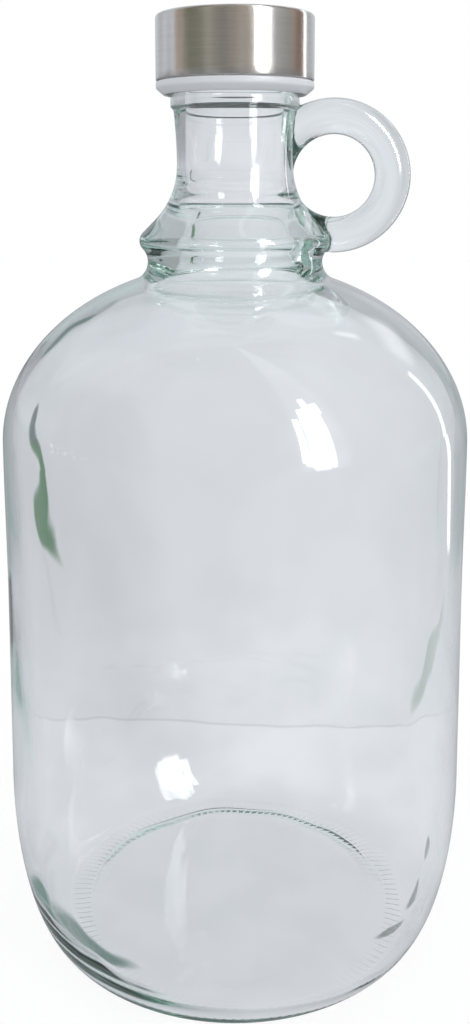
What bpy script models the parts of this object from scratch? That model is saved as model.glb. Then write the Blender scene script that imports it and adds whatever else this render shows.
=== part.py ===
"""Glass demijohn of about two litres with a ring handle at its neck and a screw cap.

The bottle is one moulding of glass. The cap is a steel shell over a plastic insert that carries the
thread, with a foam liner that seals on the rim. Metres, +Z up, the foot stands on Z = 0 and the
bottle's axis is the Z axis, with the handle towards +X.
"""

import math
from typing import NamedTuple

import bmesh
import bpy
from mathutils import Matrix, Vector

# Body
BODY_RADIUS = 0.0655
CROWN_SWELL = 0.00045
CROWN_HEIGHT = 0.145
SWELL_HEIGHT = 0.045
SHOULDER_RISE = 0.0495
HEEL_INSET = 0.0144
HEEL_HEIGHT = 0.0475
FOOT_WIDTH = 0.005
PUSH_UP = 0.004

# Neck, from the groove over the shoulder up to the rim
COLLAR_RADIUS = 0.027
COLLAR_ROUND = 0.0032
GROOVE_DEPTH = 0.0023
GROOVE_ROUND = 0.0054
FLARE_ANGLE = 44.0
FLARE_ROUND = 0.0215
NECK_RADIUS = 0.0163
NECK_LENGTH = 0.0386
NECK_ROUND = 0.13
BEAD_PROUD = 0.0017
BEAD_ROUND = 0.004
BEAD_TOP_ANGLE = 28.0
BEAD_STRAIGHT = 0.00125
BEAD_EDGE_ROUND = 0.0007
BEAD_FILLET = 0.0014
FINISH_RADIUS = 0.01765
FINISH_HEIGHT = 0.0189
RIM_ROUND = 0.0009

# Glass thickness, and the shape of the inside where it isn't the outside moved in
BODY_WALL = 0.0028
SHOULDER_WALL = 0.005
NECK_WALL = 0.0024
COLLAR_WALL = 0.01
HEEL_WALL = 0.0036
BASE_WALL = 0.0045
INNER_FOOT_INSET = 0.001
THROAT_ROUND = 0.0072
THROAT_RISE = 0.0083
THROAT_FILLET = 0.0155
THROAT_FLARE_ANGLE = 39.7
THROAT_FLARE_ROUND = 0.0041

# Ring handle, which reaches from under the collar's lip to the top of the bead
HANDLE_SECTION = 0.0101
HANDLE_THICKNESS = 0.0095
HANDLE_OVER_BEAD = 0.0012
HANDLE_UNDER_LIP = 0.0034

# Screw thread: one start, right hand
THREAD_LEAD = 0.0254 / 6
THREAD_HEIGHT = 0.0012
THREAD_ROOT_WIDTH = 0.0024
THREAD_CREST_WIDTH = 0.0013
THREAD_BELOW_RIM = 0.0027
THREAD_TURNS = 1.5
THREAD_CLEARANCE = 0.00038
THREAD_FLANK_CLEARANCE = 0.0004
THREAD_SINK = 0.0003
CAP_THREAD_TURNS = 1.9

# Cap
FIT_GAP = 0.0003
SHELL_WALL = 0.0005
SHELL_EDGE_ROUND = 0.0009
INSERT_WALL = 0.002
INSERT_TOP = 0.0014
LINER_THICKNESS = 0.0017
SKIRT_OVER_BEAD = 0.0017
SKIRT_SHOWING = 0.0039
SKIRT_BAND = 0.0013
SKIRT_CHAMFER = 0.0018
SKIRT_LEAD_IN = 0.0004

# Fineness of the round shapes
TURN_STEPS = 36
RING_STEPS = 32
SECTION_STEPS = 10
SMALL_ARC_STEPS = 3
ARC_STEPS = 5
LONG_ARC_STEPS = 9
FADE_STEPS = 4
FADE_LEAST = 0.1
HALVINGS = 50
SMOOTH_ANGLE = 35.0
MERGE = 0.00001
CUT_MARGIN = 0.005

# Worked out from the sizes above
CROWN_RADIUS = BODY_RADIUS + CROWN_SWELL
FOOT_RADIUS = BODY_RADIUS - HEEL_INSET
BEAD_RADIUS = NECK_RADIUS + BEAD_PROUD
BORE_RADIUS = NECK_RADIUS - NECK_WALL
INSERT_BORE = FINISH_RADIUS + THREAD_HEIGHT + THREAD_CLEARANCE
INSERT_RADIUS = INSERT_BORE + INSERT_WALL
CAP_RADIUS = INSERT_RADIUS + FIT_GAP + SHELL_WALL


def arc(centre, radii, start, end, steps):
    """Points along an upright ellipse from one angle to another, in degrees, both ends included."""
    angles = [math.radians(start + (end - start) * i / steps) for i in range(steps + 1)]
    return [(centre[0] + radii[0] * math.cos(a), centre[1] + radii[1] * math.sin(a)) for a in angles]


def round_arc(centre, radius, start, end, steps):
    """The same along a circle."""
    return arc(centre, (radius, radius), start, end, steps)


class Face(NamedTuple):
    """Sizes of one face of the glass, outside or inside, from the neck's straight part to the crown."""

    neck: float
    flare_round: float
    flare_angle: float
    lip: float
    lip_round: float
    lip_rise: float
    groove: float
    groove_round: float
    crown: float
    rise: float


OUTSIDE = Face(
    neck=NECK_RADIUS,
    flare_round=FLARE_ROUND,
    flare_angle=FLARE_ANGLE,
    lip=COLLAR_RADIUS,
    lip_round=COLLAR_ROUND,
    lip_rise=0.0,
    groove=COLLAR_RADIUS - GROOVE_DEPTH,
    groove_round=GROOVE_ROUND,
    crown=CROWN_RADIUS,
    rise=SHOULDER_RISE,
)
INSIDE = Face(
    neck=BORE_RADIUS,
    flare_round=THROAT_FLARE_ROUND,
    flare_angle=THROAT_FLARE_ANGLE,
    lip=COLLAR_RADIUS - COLLAR_WALL,
    lip_round=THROAT_ROUND,
    lip_rise=THROAT_RISE,
    groove=COLLAR_RADIUS - COLLAR_WALL,
    groove_round=THROAT_FILLET,
    crown=CROWN_RADIUS - BODY_WALL,
    rise=SHOULDER_RISE - SHOULDER_WALL,
)


def normal_of(face, angle):
    """The direction square to the shoulder's ellipse at this angle on it."""
    across, up = face.rise * math.cos(angle), face.crown * math.sin(angle)
    length = math.hypot(across, up)
    return across / length, up / length


def groove_of(face):
    """Centre of the groove's fillet, and the angle on the shoulder's ellipse where it touches."""
    low, high = 0.0, math.pi / 2
    for _ in range(HALVINGS):
        angle = (low + high) / 2
        reach = face.crown * math.cos(angle) + face.groove_round * normal_of(face, angle)[0]
        if reach > face.groove + face.groove_round:
            low = angle
        else:
            high = angle
    height = CROWN_HEIGHT + face.rise * math.sin(angle) + face.groove_round * normal_of(face, angle)[1]
    return (face.groove + face.groove_round, height), angle


def lip_of(face):
    """Centre of the lip's arc, and the angle at which it meets the groove's arc or the straight over it."""
    (reach, height), _ = groove_of(face)
    across = reach - (face.lip - face.lip_round)
    drop = math.sqrt(max((face.lip_round + face.groove_round) ** 2 - across**2, 0.0))
    centre = (face.lip - face.lip_round, height + drop + face.lip_rise)
    return centre, math.degrees(math.atan2(drop, across))


def flare_of(face):
    """Centre of the flare's arc: its lower end runs straight on to touch the top of the lip."""
    turn = math.radians(face.flare_angle)
    lip, _ = lip_of(face)
    top = (lip[0] + face.lip_round * math.cos(turn), lip[1] + face.lip_round * math.sin(turn))
    end = face.neck + face.flare_round * (1 - math.cos(turn))
    height = top[1] + (top[0] - end) / math.tan(turn)
    return face.neck + face.flare_round, height + face.flare_round * math.sin(turn)


def joined(*runs):
    """Runs of points put end to end, without any point that repeats the one before it."""
    points = []
    for point in (point for run in runs for point in run):
        if not points or math.dist(points[-1], point) > MERGE:
            points.append(point)
    return points


def neck_and_shoulder(face):
    """The face from the neck's straight part down over flare, lip, groove and shoulder to the crown."""
    lip, meeting = lip_of(face)
    groove, touch = groove_of(face)
    across, up = normal_of(face, touch)
    end = 180 + math.degrees(math.atan2(up, across))
    return joined(
        round_arc(flare_of(face), face.flare_round, 180, 180 + face.flare_angle, ARC_STEPS),
        round_arc(lip, face.lip_round, face.flare_angle, -meeting, ARC_STEPS),
        round_arc(groove, face.groove_round, 180 - meeting, end, ARC_STEPS),
        arc((0.0, CROWN_HEIGHT), (face.crown, face.rise), math.degrees(touch), 0, LONG_ARC_STEPS),
    )


def body_and_heel(radius, foot, floor):
    """A face from the crown down the body, which narrows to this radius, and round the heel."""
    swell = []
    for i in range(SMALL_ARC_STEPS + 1):
        share = (1 + math.cos(math.pi * i / SMALL_ARC_STEPS)) / 2
        height = CROWN_HEIGHT - SWELL_HEIGHT * i / SMALL_ARC_STEPS
        swell.append((radius + CROWN_SWELL * share, height))
    heel = arc((foot, HEEL_HEIGHT), (radius - foot, HEEL_HEIGHT - floor), 0, -90, LONG_ARC_STEPS)
    return joined(swell, heel)


# Heights up the axis, each from the one below it
LIP_HEIGHT = lip_of(OUTSIDE)[0][1]
BEAD_HEIGHT = LIP_HEIGHT + NECK_LENGTH
RIM_HEIGHT = BEAD_HEIGHT + FINISH_HEIGHT
SKIRT_BOTTOM = BEAD_HEIGHT + SKIRT_OVER_BEAD
SHELL_BOTTOM = SKIRT_BOTTOM + SKIRT_SHOWING
LINER_BOTTOM = RIM_HEIGHT + FIT_GAP
INSERT_CEILING = LINER_BOTTOM + LINER_THICKNESS + FIT_GAP
SHELL_CEILING = INSERT_CEILING + INSERT_TOP + FIT_GAP
CAP_TOP = SHELL_CEILING + SHELL_WALL


def bead_and_neck():
    """The outside of the bead, the fillet under it and the neck's slight waist, down to the flare."""
    edge = Vector((BEAD_RADIUS - BEAD_EDGE_ROUND, BEAD_HEIGHT - BEAD_STRAIGHT))
    waist = Vector((NECK_RADIUS + NECK_ROUND, flare_of(OUTSIDE)[1]))
    span, reach, meeting = edge - waist, NECK_ROUND - BEAD_FILLET, BEAD_EDGE_ROUND + BEAD_FILLET
    apart = math.acos((span.length**2 + reach**2 - meeting**2) / (2 * span.length * reach))
    lean = math.atan2(span.y, -span.x) - apart
    fillet = waist + Vector((-math.cos(lean), math.sin(lean))) * reach
    fall = math.degrees(math.atan2(edge.y - fillet.y, fillet.x - edge.x))
    start = 180 - math.degrees(lean)
    return joined(
        round_arc((BEAD_RADIUS - BEAD_ROUND, BEAD_HEIGHT), BEAD_ROUND, BEAD_TOP_ANGLE, 0, SMALL_ARC_STEPS),
        round_arc(edge, BEAD_EDGE_ROUND, 0, -fall, SMALL_ARC_STEPS),
        round_arc(fillet, BEAD_FILLET, 180 - fall, start, SMALL_ARC_STEPS),
        round_arc(waist, NECK_ROUND, start, 180, ARC_STEPS),
    )


def outer_profile():
    """The glass from the middle of its top down the outside to the middle of the base."""
    rim = (FINISH_RADIUS - RIM_ROUND, RIM_HEIGHT - RIM_ROUND)
    bead_top = BEAD_HEIGHT + BEAD_ROUND * math.sin(math.radians(BEAD_TOP_ANGLE))
    return joined(
        [(0.0, RIM_HEIGHT)],
        round_arc(rim, RIM_ROUND, 90, 0, SMALL_ARC_STEPS),
        [(FINISH_RADIUS, bead_top)],
        bead_and_neck(),
        neck_and_shoulder(OUTSIDE),
        body_and_heel(BODY_RADIUS, FOOT_RADIUS, 0.0),
        arc((0.0, 0.0), (FOOT_RADIUS - FOOT_WIDTH, PUSH_UP), 0, 90, ARC_STEPS),
    )


def cavity_profile():
    """The inside, from over the rim down the bore to the middle of the floor, which rises there."""
    mouth = RIM_HEIGHT + CUT_MARGIN
    foot = FOOT_RADIUS - INNER_FOOT_INSET
    floor = []
    for i in range(SMALL_ARC_STEPS + 1):
        share = 1 - i / SMALL_ARC_STEPS
        floor.append((foot * share, HEEL_WALL + (PUSH_UP + BASE_WALL - HEEL_WALL) * (1 - share**2)))
    return joined(
        [(0.0, mouth), (BORE_RADIUS, mouth)],
        neck_and_shoulder(INSIDE),
        body_and_heel(BODY_RADIUS - BODY_WALL, foot, HEEL_WALL),
        floor,
    )


def shell_profile():
    """The steel shell from the middle of its top down its outside and up its inside."""
    inner = CAP_RADIUS - SHELL_WALL
    edge = (CAP_RADIUS - SHELL_EDGE_ROUND, CAP_TOP - SHELL_EDGE_ROUND)
    return joined(
        [(0.0, CAP_TOP)],
        round_arc(edge, SHELL_EDGE_ROUND, 90, 0, SMALL_ARC_STEPS),
        [(CAP_RADIUS, SHELL_BOTTOM), (inner, SHELL_BOTTOM)],
        round_arc(edge, SHELL_EDGE_ROUND - SHELL_WALL, 0, 90, SMALL_ARC_STEPS),
        [(0.0, SHELL_CEILING)],
    )


def insert_profile():
    """The plastic insert: its plate, its wall inside the shell, and the skirt that shows under the shell."""
    plate = INSERT_CEILING + INSERT_TOP
    corner = INSERT_RADIUS - (SHELL_EDGE_ROUND - SHELL_WALL)
    flange = SHELL_BOTTOM - FIT_GAP
    return [
        (0.0, plate),
        (corner, plate),
        (INSERT_RADIUS, plate - (SHELL_EDGE_ROUND - SHELL_WALL)),
        (INSERT_RADIUS, flange),
        (CAP_RADIUS, flange),
        (CAP_RADIUS, flange - SKIRT_BAND),
        (CAP_RADIUS - SKIRT_CHAMFER, SKIRT_BOTTOM),
        (INSERT_BORE + SKIRT_LEAD_IN, SKIRT_BOTTOM),
        (INSERT_BORE, SKIRT_BOTTOM + SKIRT_LEAD_IN),
        (INSERT_BORE, INSERT_CEILING),
        (0.0, INSERT_CEILING),
    ]


def liner_profile():
    """The foam disc that lies in the insert and seals on the rim."""
    radius = INSERT_BORE - FIT_GAP
    top = LINER_BOTTOM + LINER_THICKNESS
    return [(0.0, top), (radius, top), (radius, LINER_BOTTOM), (0.0, LINER_BOTTOM)]


def ridge_width(radius):
    """Axial width of the bottle's thread at this radius."""
    share = (radius - FINISH_RADIUS) / THREAD_HEIGHT
    return THREAD_ROOT_WIDTH + (THREAD_CREST_WIDTH - THREAD_ROOT_WIDTH) * share


def groove_width(radius):
    """Axial width at this radius of a ridge that runs in the bottle's thread with its clearance."""
    return THREAD_LEAD - ridge_width(radius) - 2 * THREAD_FLANK_CLEARANCE


def add_object(name, mesh, collection, height=0.0):
    """An object on the bottle's axis, with its origin at this height."""
    made = bpy.data.objects.new(name, mesh)
    made.location.z = height
    collection.objects.link(made)
    return made


def turned(name, profile, collection, origin=0.0):
    """A turned solid: the profile runs down its outside, and the Screw modifier turns it about Z."""
    mesh = bpy.data.meshes.new(name)
    shape = bmesh.new()
    points = [shape.verts.new((radius, 0.0, height - origin)) for radius, height in profile]
    for upper, lower in zip(points, points[1:]):
        shape.edges.new((upper, lower))
    shape.to_mesh(mesh)
    shape.free()
    made = add_object(name, mesh, collection, origin)
    screw = made.modifiers.new("Turn", "SCREW")
    screw.axis = "Z"
    screw.angle = math.tau
    screw.steps = TURN_STEPS
    screw.render_steps = TURN_STEPS
    screw.use_merge_vertices = True
    screw.merge_threshold = MERGE
    return made


def ridge(name, root, crest, width_at, top, turns, collection, origin=0.0):
    """A thread's ridge, lofted down a right-hand helix from its root's radius to its crest's.

    It sinks into its wall at both ends, and width_at gives its axial width at a radius.
    """
    steps = round(turns * TURN_STEPS)
    shape = bmesh.new()
    sections = []
    for i in range(steps + 1):
        angle = -math.tau * i / TURN_STEPS
        height = top - origin - THREAD_LEAD * i / TURN_STEPS
        fade = min(max(min(i, steps - i) / FADE_STEPS, FADE_LEAST), 1.0)
        corners = [(root, -1), (crest, -1), (crest, 1), (root, 1)]
        section = []
        for radius, side in corners:
            across = root + (radius - root) * fade
            up = height + side * width_at(radius) / 2
            section.append(shape.verts.new((across * math.cos(angle), across * math.sin(angle), up)))
        sections.append(section)
    for upper, lower in zip(sections, sections[1:]):
        for k in range(len(upper)):
            after = (k + 1) % len(upper)
            shape.faces.new((upper[k], upper[after], lower[after], lower[k]))
    shape.faces.new(sections[0])
    shape.faces.new(sections[-1])
    bmesh.ops.recalc_face_normals(shape, faces=shape.faces)
    mesh = bpy.data.meshes.new(name)
    shape.to_mesh(mesh)
    shape.free()
    return add_object(name, mesh, collection, origin)


def ring(name, collection):
    """The handle's ring, standing in the XZ plane beside the neck."""
    top = BEAD_HEIGHT + HANDLE_OVER_BEAD
    outer_radius = (top - (LIP_HEIGHT - HANDLE_UNDER_LIP)) / 2
    hole_radius = outer_radius - HANDLE_SECTION
    bpy.ops.mesh.primitive_torus_add(
        major_radius=outer_radius - HANDLE_SECTION / 2,
        minor_radius=HANDLE_SECTION / 2,
        major_segments=RING_STEPS,
        minor_segments=SECTION_STEPS,
        location=(NECK_RADIUS + hole_radius, 0.0, top - outer_radius),
        rotation=(math.pi / 2, 0.0, 0.0),
    )
    made = bpy.context.object
    made.name = name
    made.data.transform(Matrix.Scale(HANDLE_THICKNESS / HANDLE_SECTION, 4, (0.0, 0.0, 1.0)))
    for former in made.users_collection:
        former.objects.unlink(made)
    collection.objects.link(made)
    return made


def combine(piece, other, operation):
    """Joins the other shape to the piece, or cuts it out, and puts the other among the helpers."""
    boolean = piece.modifiers.new(other.name, "BOOLEAN")
    boolean.operation = operation
    boolean.object = other
    boolean.solver = "EXACT"
    other.hide_render = True
    other.display_type = "WIRE"


def make_bottle(parts, cutters):
    """The glass: turned outside, thread and ring joined to it, and the inside cut out last."""
    bottle = turned("glass_bottle", outer_profile(), parts)
    thread = ridge(
        "bottle_thread",
        FINISH_RADIUS - THREAD_SINK,
        FINISH_RADIUS + THREAD_HEIGHT,
        ridge_width,
        RIM_HEIGHT - THREAD_BELOW_RIM,
        THREAD_TURNS,
        cutters,
    )
    combine(bottle, thread, "UNION")
    combine(bottle, ring("handle_ring", cutters), "UNION")
    combine(bottle, turned("bottle_inside", cavity_profile(), cutters), "DIFFERENCE")
    return bottle


def make_insert(parts, cutters):
    """The insert with its own thread, half a lead under the bottle's."""
    insert = turned("cap_insert", insert_profile(), parts, RIM_HEIGHT)
    thread = ridge(
        "insert_thread",
        INSERT_BORE + THREAD_SINK,
        FINISH_RADIUS + THREAD_CLEARANCE,
        groove_width,
        RIM_HEIGHT - THREAD_BELOW_RIM - THREAD_LEAD / 2,
        CAP_THREAD_TURNS,
        cutters,
        RIM_HEIGHT,
    )
    combine(insert, thread, "UNION")
    return insert


def add_axis(name, parent, height, collection):
    """An empty on the bottle's axis, which carries what moves along or about it."""
    made = add_object(name, None, collection, height)
    made.parent = parent
    return made


def carry(axis, *pieces):
    """Hangs the pieces, whose origins are at the axis's own height, on the axis."""
    for piece in pieces:
        piece.parent = axis
        piece.location.z = 0.0


def finish(surfaces):
    """Applies each piece's modifiers, shades it smooth except at sharp edges, and gives it its material."""
    bpy.context.view_layer.update()
    graph = bpy.context.evaluated_depsgraph_get()
    meshes = {piece: bpy.data.meshes.new_from_object(piece.evaluated_get(graph)) for piece in surfaces}
    for piece, mesh in meshes.items():
        piece.modifiers.clear()
        mesh.materials.clear()
        mesh.materials.append(surfaces[piece])
        mesh.shade_smooth()
        mesh.set_sharp_from_angle(angle=math.radians(SMOOTH_ANGLE))
        piece.data = mesh
        mesh.name = piece.name


def material(name, colour, roughness, metallic=0.0, transmission=0.0):
    """A plain material, whose colour the viewport shows too."""
    made = bpy.data.materials.new(name)
    made.use_nodes = True
    made.diffuse_color = (*colour, 1.0)
    shader = made.node_tree.nodes["Principled BSDF"]
    shader.inputs["Base Color"].default_value = (*colour, 1.0)
    shader.inputs["Roughness"].default_value = roughness
    shader.inputs["Metallic"].default_value = metallic
    shader.inputs["Transmission Weight"].default_value = transmission
    return made


def main():
    for old in list(bpy.data.objects):
        bpy.data.objects.remove(old, do_unlink=True)
    parts = bpy.data.collections.new("Glass demijohn")
    cutters = bpy.data.collections.new("Cutters")
    for collection in (parts, cutters):
        bpy.context.scene.collection.children.link(collection)
    bottle = make_bottle(parts, cutters)
    insert = make_insert(parts, cutters)
    shell = turned("cap_shell", shell_profile(), parts, RIM_HEIGHT)
    liner = turned("cap_liner", liner_profile(), parts, RIM_HEIGHT)
    finish(
        {
            bottle: material("clear_glass", (0.86, 0.93, 0.9), 0.02, transmission=1.0),
            shell: material("brushed_steel", (0.6, 0.58, 0.55), 0.32, metallic=1.0),
            insert: material("white_plastic", (0.86, 0.87, 0.88), 0.4),
            liner: material("foam_liner", (0.9, 0.9, 0.88), 0.8),
        }
    )
    rise = add_axis("cap_rise_axis", None, RIM_HEIGHT, parts)
    turn = add_axis("cap_turn_axis", rise, 0.0, parts)
    carry(rise, liner)
    carry(turn, shell, insert)


main()
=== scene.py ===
import math
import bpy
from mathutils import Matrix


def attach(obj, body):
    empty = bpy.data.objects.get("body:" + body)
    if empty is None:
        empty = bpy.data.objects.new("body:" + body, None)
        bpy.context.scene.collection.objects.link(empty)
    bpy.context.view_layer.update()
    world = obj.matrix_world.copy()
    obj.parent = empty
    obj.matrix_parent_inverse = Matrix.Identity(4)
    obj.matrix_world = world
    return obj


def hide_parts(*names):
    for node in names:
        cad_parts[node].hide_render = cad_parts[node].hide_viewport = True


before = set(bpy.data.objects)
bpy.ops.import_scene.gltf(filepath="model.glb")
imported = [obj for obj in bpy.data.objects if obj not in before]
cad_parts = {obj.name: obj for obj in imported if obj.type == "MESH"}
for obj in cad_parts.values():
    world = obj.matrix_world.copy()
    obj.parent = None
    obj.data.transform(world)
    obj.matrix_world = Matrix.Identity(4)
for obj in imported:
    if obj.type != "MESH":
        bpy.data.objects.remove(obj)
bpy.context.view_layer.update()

from types import SimpleNamespace

import bmesh
import bpy
from bpy.props import FloatProperty, FloatVectorProperty, PointerProperty
from mathutils import Matrix, Vector, noise
from mathutils.kdtree import KDTree

bl_info = {
    "name": "Glass Demijohn",
    "version": (1, 0, 0),
    "blender": (4, 5, 0),
    "location": "View3D > Sidebar > Demijohn",
    "description": "Builds a two-litre glass demijohn with a ring handle and a steel screw cap",
    "category": "Add Mesh",
}

# Sizes are in metres and angles in degrees.
# Outside of the glass
CROWN_SWELL = 0.00045
SWELL_HEIGHT = 0.045
COLLAR_RADIUS = 0.027
COLLAR_ROUND = 0.0032
GROOVE_DEPTH = 0.0023
GROOVE_ROUND = 0.0054
FLARE_ANGLE = 44.0
FLARE_ROUND = 0.0215
NECK_LENGTH = 0.0386
NECK_ROUND = 0.13
BEAD_PROUD = 0.0017
BEAD_ROUND = 0.004
BEAD_TOP_ANGLE = 28.0
BEAD_STRAIGHT = 0.00125
BEAD_EDGE_ROUND = 0.0007
BEAD_FILLET = 0.0014
FINISH_HEIGHT = 0.0189
RIM_ROUND = 0.0009
FOOT_WIDTH = 0.005
FOOT_EDGE = 0.0012
PUSH_UP = 0.004
PUSH_UP_LIP = 0.0001

# Thickness of the glass, and the shape of the inside where it isn't the outside moved in
NECK_WALL = 0.0024
COLLAR_WALL = 0.01
HEEL_WALL = 0.0036
BASE_WALL = 0.0045
INNER_FOOT_INSET = 0.001
THROAT_ROUND = 0.0072
THROAT_RISE = 0.0083
THROAT_FILLET = 0.0155
THROAT_FLARE_ANGLE = 39.7
THROAT_FLARE_ROUND = 0.0041
MOUTH_ROUND = 0.0006
MOUTH_CLEAR = 0.004

# Ring handle
HANDLE_SECTION = 0.0101
HANDLE_THICKNESS = 0.0095
HANDLE_OVER_BEAD = 0.0012
HANDLE_UNDER_LIP = 0.0034

# Rounding of the line where the ring meets the neck, and where on the bottle that line is looked for
JOINT_REACH = 0.0014
JOINT_ROUNDS = 6
JOINT_BELOW_LIP = 0.006
JOINT_OVER_BEAD = 0.003
JOINT_SIDE = 0.6
CREASE_ANGLE = 28

# Screw thread, one start, right hand
THREAD_LEAD = 0.0254 / 6
THREAD_HEIGHT = 0.0012
THREAD_ROOT_WIDTH = 0.0024
THREAD_CREST_WIDTH = 0.0013
THREAD_BELOW_RIM = 0.0027
THREAD_TURNS = 1.5
THREAD_CLEARANCE = 0.00038
THREAD_FLANK_CLEARANCE = 0.0004
THREAD_SINK = 0.0003
THREAD_EDGE_ROUND = 0.0003
THREAD_FADE = 40.0
THREAD_START = 0.1
CAP_THREAD_TURNS = 1.9

# Knurled ring of the foot
RIBS = 130
RIB_OUTER = 0.0513
RIB_INNER = 0.0453
RIB_HEIGHT = 0.00021
RIB_FLANK = 0.0005

# Cap
FIT_GAP = 0.0003
SHELL_WALL = 0.0005
SHELL_EDGE_ROUND = 0.0009
INSERT_WALL = 0.002
INSERT_TOP = 0.0014
LINER_THICKNESS = 0.0017
LINER_ROUND = 0.0003
SKIRT_OVER_BEAD = 0.0017
SKIRT_SHOWING = 0.0039
SKIRT_BAND = 0.0013
SKIRT_BAND_ROUND = 0.0012
SKIRT_CHAMFER = 0.0018
SKIRT_CHAMFER_ROUND = 0.0001
SKIRT_ROUND = 0.00035
SKIRT_LEAD_IN = 0.0004

# Print of the rim in the liner
DENT = 0.00012
DENT_FLANK = 0.0003
DENT_WIDTH = 0.004
DENT_FADE = 0.0006

# Distance under which points are one, and halvings in a search
MERGE = 0.000001
BISECTIONS = 50

# Angles in degrees past which an edge is shaded sharp
GLASS_SHARP = 50.0
STEEL_SHARP = 45.0
SOFT_SHARP = 40.0

# Steps of each stretch of an outline, and of the turns
FLARE_STEPS = 14
FLARE_END_STEPS = 2
LIP_STEPS = 18
LIP_END_STEPS = 3
GROOVE_STEPS = 14
CROWN_STEPS = 38
SWELL_STEPS = 14
SIDE_STEPS = 10
HEEL_STEPS = 34
NECK_STEPS = 14
PUSH_UP_STEPS = 14
FLOOR_STEPS = 16
INSIDE_TURN_STEPS = 200
RING_STEPS = 120
RING_SECTION_STEPS = 56
THREAD_STEPS = 96
CAP_TURN_STEPS = 192
LINER_TURN_STEPS = 144

# Waves of the inside, slow ones and fast ones: how many a metre across and up, and where they start
SLOW_WAVES = ((34, 34, 22), (3.1, 7.7, 1.3))
FAST_WAVES = ((110, 110, 70), (9.2, 2.4, 5.8))
FAST_SHARE = 0.22

# The waves calm down to this share of themselves from under the lip up to the neck, and stop below the rim.
# The floor's slant fades out between two heights, and the throat's shift between two pairs round the lip
CALM_NECK = 0.15
CALM_RUN = 0.03
CALM_OVER_LIP = 0.014
STILL_MOUTH = 0.015
SLANT_FROM, SLANT_TO = 0.02, 0.008
THROAT_LOW = (-0.012, -0.002)
THROAT_HIGH = (0.022, 0.011)

# The surroundings' panes and strips. Each has its azimuth from the camera's side towards +X and half its
# width, its elevation and half its height, how soft its edge is, all in degrees, and how bright it is.
# The window's panes are seen in the glass and through it, and fade out between these two elevations
PANES_FADE = (0.0, 6.0)
PANES = (
    (32.8, 1.5, 21.5, 15.5, 0.8, 16.0),
    (38.0, 2.1, 20.5, 22.5, 0.8, 16.0),
    (42.3, 1.9, 24.5, 24.5, 0.8, 16.0),
    (46.4, 1.3, 20.0, 17.0, 0.8, 16.0),
)
# The strips are seen in the glass and in the metal only
STRIPS = (
    (47.3, 2.2, 41.0, 3.5, 0.8, 16.0),
    (119.5, 1.5, 4.5, 21.5, 1.0, 5.0),
    (137.0, 11.0, 29.0, 5.0, 4.0, 1.3),
    (129.0, 2.0, 49.0, 4.0, 2.0, 2.5),
)
# The glints are a strip that leaves break up
GLINTS = (-85.0, 13.0, 0.0, 2.4, 1.2, 2.6)
# The cards are painted shade: soft dark and green ovals of the surroundings, seen through the whole bottle or
# along inside its wall, which darken the glass where its thick parts and the floor's shadow at the foot show
# dark.
# Each has its azimuth and half its width, its elevation and half its height, its turn, and its colour. Its
# edge is between these two squares of its reach
OVAL_EDGE = (1.5, 0.5)
SHADE_CARDS = (
    (-158.8, 1.5, -14.0, 5.8, -2.0, (0.0, 0.12, 0.01)),
    (-160.6, 1.0, -7.4, 3.4, 40.0, (0.0, 0.04, 0.04)),
    # Painted shadow of the floor just outside the foot, tinted green
    (-60.0, 20.0, -66.7, 1.4, -7.5, (0.0, 0.09, 0.06)),
    (69.0, 6.0, -67.8, 0.6, 14.0, (0.15, 0.17, 0.17)),
    (88.0, 7.0, -64.2, 0.7, 14.0, (0.12, 0.14, 0.14)),
    (107.0, 5.0, -58.0, 0.6, 14.0, (0.15, 0.17, 0.17)),
    (144.5, 2.6, -30.0, 8.0, 0.0, (0.42, 0.47, 0.44)),
)
# Painted shade seen along inside the wall: dark green ovals
WALL_SHADE_CARDS = (
    (-76.0, 13.0, -59.2, 1.5, -4.0, (0.16, 0.27, 0.24)),
    (-156.0, 6.0, 18.0, 5.0, 0.0, (0.02, 0.09, 0.06)),
)

# Noises over the surroundings: how fine each is, and where in its range it rises from 0 to 1
HAZE_NOISE = (7.0, 0.35, 0.65)
CLOUD_NOISE = (2.2, 0.35, 0.7)
LEAF_NOISE = (34.0, 0.56, 0.66)

# The background through the glass is a little darker in a haze, and what is mirrored lies between two levels
HAZE = (0.945, 0.95, 0.955, 1.0)
CLOUD_LEVELS = (0.72, 1.22)

# Where the background falls off for rays along inside the wall, which paints shade into the glass's edges:
# from and to which elevation, and how much
WALL_SHADE_FALLS = ((-22.0, -10.0, 1.0), (-3.0, 6.0, 0.8))

# The shades of the table's nearer side and of the line at its edge, half that line's width and its softness
TABLE_SHADE = (1.05, 1.045, 1.04, 1.0)
EDGE_SHADE = (0.84, 0.84, 0.84, 1.0)
EDGE_LINE = 0.001
EDGE_SOFT = 0.0006

# How bright the background through the glass is, by azimuth and by elevation. Towards straight down, where
# all azimuths meet, one level stands for them. The lower levels straight down, under the bottle's base, are
# painted shadow of the floor there
DOWN_LEVEL = (0.94, 0.94, 0.94, 1.0)
DOWN_FROM, DOWN_TO = -52.0, -66.0
ROUND_LEVELS = (
    (-180, 1.00),
    (-175, 0.97),
    (-167, 0.90),
    (-163, 0.84),
    (-157, 0.85),
    (-145, 0.90),
    (-120, 0.91),
    (-60, 0.94),
    (60, 0.98),
    (110, 1.06),
    (130, 1.02),
    (150, 0.98),
    (162, 1.05),
    (175, 1.04),
    (180, 1.00),
)
HIGH_LEVELS = (
    (-90, 0.91),
    (-72, 0.91),
    (-66, 1.00),
    (-58, 1.07),
    (-50, 1.05),
    (-35, 1.07),
    (-24, 1.00),
    (-14, 1.00),
    (-5, 1.05),
    (5, 1.09),
    (90, 1.12),
)

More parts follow.
